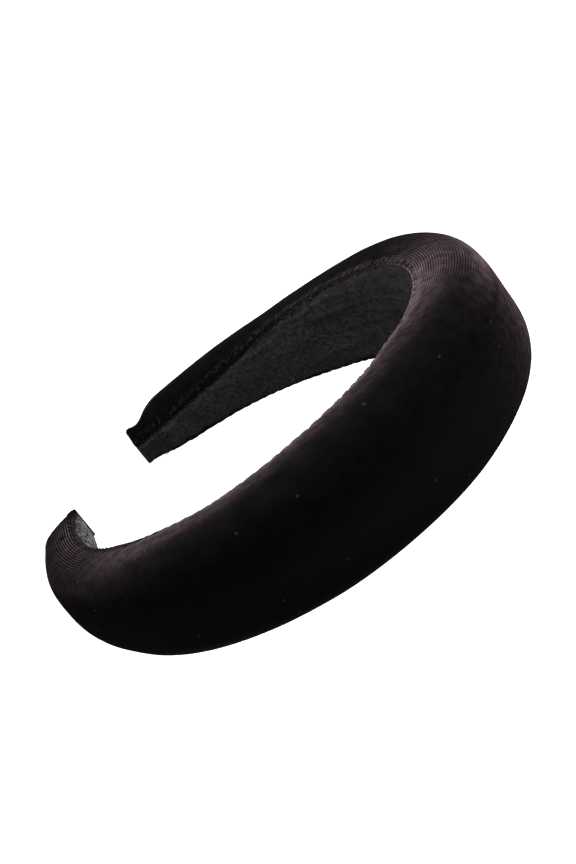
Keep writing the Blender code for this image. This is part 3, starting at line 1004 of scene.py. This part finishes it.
def adhesive_material(name, gloss):
    """Clear glue dried over the dark cloth, with milky folds whose light colour is partly the glue's own and partly
    painted highlight. gloss is 1 where it is thick and 0 where it sank in.
    """
    graph = Graph(name)
    spot = graph.vector(graph.stored("along"), graph.stored("across"))
    milky = graph.noise(spot, 0.0026, detail=5.0, roughness=0.62)
    fleck = graph.remap(graph.noise(spot, 0.0007, detail=2.0), 0.52, 0.60)
    # partly painted highlight: the milky folds' light colour rises with gloss, standing in for the film's shine
    light = 0.008 + 0.026 * gloss
    # painted highlight: the colour is up to 1.9 times lighter away from the left tip, and on the whole right film
    painted_highlight_gain = graph.remap(graph.stored("along"), -0.176, -0.164, 0.9, 1.9)
    colour = graph.blend(graph.remap(milky, 0.47, 0.60), (0.0024, 0.0024, 0.0022), (light, light, 1.05 * light))
    colour = graph.product(colour, painted_highlight_gain)
    colour = graph.blend(fleck, colour, (0.0025, 0.0025, 0.0025))
    wrinkle = graph.noise(spot, 0.0009, detail=3.0)
    dull = 0.75 * (1 - gloss)
    return graph.finish(
        Base_Color=colour,
        Roughness=graph.remap(milky, 0.35, 0.7, 0.06 + dull, min(0.9, 0.45 + dull)),
        Specular_IOR_Level=0.05 + 0.35 * gloss,
        Alpha=0.12 + 0.88 * gloss,
        Normal=graph.bump(wrinkle, 0.00045, 1.0),
    )


def hoop_material():
    """Black moulded plastic with fine lengthwise drag marks."""
    graph = Graph("hoop_moulded_plastic")
    place_on = graph.tree.nodes.new("ShaderNodeTexCoord").outputs["Object"]
    grain = graph.noise(place_on, 0.0010, detail=3.0)
    streak = graph.noise(graph.vector(graph.maths("MULTIPLY", graph.stored("along"), 0.05), place_on), 0.002)
    return graph.finish(
        Base_Color=graph.blend(streak, (0.030, 0.030, 0.034), (0.050, 0.050, 0.054)),
        Roughness=graph.remap(grain, 0.3, 0.7, 0.38, 0.52),
        Normal=graph.bump(grain, 0.00003, 0.5),
    )


def foam_material():
    """Open-cell foam: pale, with small dark pores."""
    graph = Graph("foam_open_cell")
    place_on = graph.tree.nodes.new("ShaderNodeTexCoord").outputs["Object"]
    cells = graph.tree.nodes.new("ShaderNodeTexVoronoi")
    cells.inputs["Scale"].default_value = 1 / 0.0008
    graph.set(cells.inputs["Vector"], place_on)
    pore = graph.remap(cells.outputs["Distance"], 0.15, 0.5)
    return graph.finish(
        Base_Color=graph.blend(pore, (0.42, 0.40, 0.34), (0.78, 0.75, 0.68)),
        Roughness=0.95,
        Normal=graph.bump(pore, 0.0003, 0.8),
    )


def tape_material():
    """Yellowish adhesive carrier with a crepe texture."""
    graph = Graph("tape_carrier")
    place_on = graph.tree.nodes.new("ShaderNodeTexCoord").outputs["Object"]
    crepe = graph.noise(place_on, 0.0009, detail=3.0)
    return graph.finish(
        Base_Color=graph.blend(crepe, (0.66, 0.63, 0.48), (0.84, 0.82, 0.70)),
        Roughness=graph.remap(crepe, 0.3, 0.7, 0.35, 0.6),
        Normal=graph.bump(crepe, 0.00008, 0.6),
    )


# ---- studio ----


def floor_material():
    """Pale floor that the camera sees evenly lit, while it throws only a little light back on the band."""
    graph = Graph("pale_floor")
    seen = graph.tree.nodes.new("ShaderNodeLightPath").outputs["Is Camera Ray"]
    return graph.finish(
        Base_Color=(FLOOR_TONE, FLOOR_TONE, FLOOR_TONE, 1.0),
        Roughness=0.9,
        Emission_Color=(1.0, 1.0, 1.0, 1.0),
        Emission_Strength=seen,
    )


def add_floor():
    bpy.ops.mesh.primitive_plane_add(size=FLOOR_SIZE, location=(0, 0, 0))
    floor = bpy.context.object
    floor.name = "floor"
    floor.data.materials.append(floor_material())


def add_softbox(name, direction, distance, size, power, colour, target):
    """A square area lamp at a direction and distance from the target, facing it."""
    lamp = bpy.data.lights.new(name, "AREA")
    lamp.shape = "SQUARE"
    lamp.size = size
    lamp.energy = power
    lamp.color = colour
    source = bpy.data.objects.new(name, lamp)
    source.location = target + Vector(direction).normalized() * distance
    source.rotation_mode = "QUATERNION"
    source.rotation_quaternion = Vector(direction).to_track_quat("Z", "Y")
    bpy.context.scene.collection.objects.link(source)


def add_world():
    world = bpy.data.worlds.new("studio")
    world.use_nodes = True
    background = world.node_tree.nodes["Background"]
    background.inputs["Color"].default_value = (1.0, 1.0, 1.0, 1.0)
    background.inputs["Strength"].default_value = WORLD_STRENGTH
    bpy.context.scene.world = world
    bpy.context.scene.view_settings.view_transform = "Standard"


def add_camera(target):
    """Looks down at the band from its front left, rolled so that the band runs from low left to high right."""
    data = bpy.data.cameras.new("camera")
    data.lens = CAMERA_LENS
    data.shift_x, data.shift_y = CAMERA_SHIFT
    camera = bpy.data.objects.new("camera", data)
    turn = Matrix.Rotation(math.radians(CAMERA_AZIMUTH), 4, "Z")
    tilt = Matrix.Rotation(math.radians(90 - CAMERA_ELEVATION), 4, "X")
    roll = Matrix.Rotation(math.radians(CAMERA_ROLL), 4, "Z")
    facing = turn @ tilt @ roll
    camera.matrix_world = Matrix.Translation(target + facing.col[2].to_3d() * CAMERA_DISTANCE) @ facing
    bpy.context.scene.collection.objects.link(camera)
    bpy.context.scene.camera = camera


# ---- assembly ----

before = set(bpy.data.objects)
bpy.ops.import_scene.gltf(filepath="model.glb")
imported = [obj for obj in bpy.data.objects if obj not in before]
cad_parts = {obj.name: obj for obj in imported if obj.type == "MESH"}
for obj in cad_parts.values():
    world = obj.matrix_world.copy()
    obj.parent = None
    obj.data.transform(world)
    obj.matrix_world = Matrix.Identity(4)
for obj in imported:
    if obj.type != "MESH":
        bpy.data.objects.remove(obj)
cad_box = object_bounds()
CROWN_HEIGHT = cad_box[1].z - CROWN_THICKNESS
GUIDE = make_guide()


def both(node):
    return f"{node}_left", f"{node}_right"


def build_band(cover_wrinkles, lining_wrinkles):
    layers = {
        "core_hoop": (add_core_hoop(hoop_material()), "hoop_plastic"),
        "foam_tape": (add_foam_tape(tape_material()), "foam_adhesive"),
        "foam_pad": (add_foam_pad(foam_material()), "pad_foam"),
        "velvet_cover": (add_velvet_cover(velvet_material(), cover_wrinkles), "black_velvet"),
        "inner_lining": (add_inner_lining(lining_material(), lining_wrinkles), "lining_weave"),
    }
    thread = thread_material()
    for edge, edge_name in ((FRONT, "front"), (REAR, "rear")):
        name = f"seam_thread_{edge_name}"
        layers[name] = (add_seam_thread(name, edge, thread), "sewing_thread")
    for node, (piece, slot) in layers.items():
        bend_with_crown(piece)
        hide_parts(*both(node))


def build_tip_seals(lining_wrinkles):
    for side, side_name, gloss in ((LEFT, "left", 1.0), (RIGHT, "right", 0.1)):
        film = adhesive_material(f"adhesive_film_{side_name}", gloss)
        seal = add_tip_seal(f"tip_seal_film_{side_name}", side, film, lining_wrinkles)
        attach(seal, f"{side_name}_half")
        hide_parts(f"tip_seal_{side_name}")


cover_wrinkles, lining_wrinkles = settle_sleeve() or (None, None)
build_band(cover_wrinkles, lining_wrinkles)
build_tip_seals(lining_wrinkles)
add_floor()
add_world()
aim = Vector((0.0, 0.0, CROWN_HEIGHT - CAMERA_AIM_DROP))
add_softbox("key", KEY_DIRECTION, 0.8, 0.6, KEY_POWER, (1.0, 0.97, 0.98), aim)
add_softbox("back", BACK_DIRECTION, 0.8, 0.6, BACK_POWER, (1.0, 0.98, 0.98), aim)
add_camera(aim)
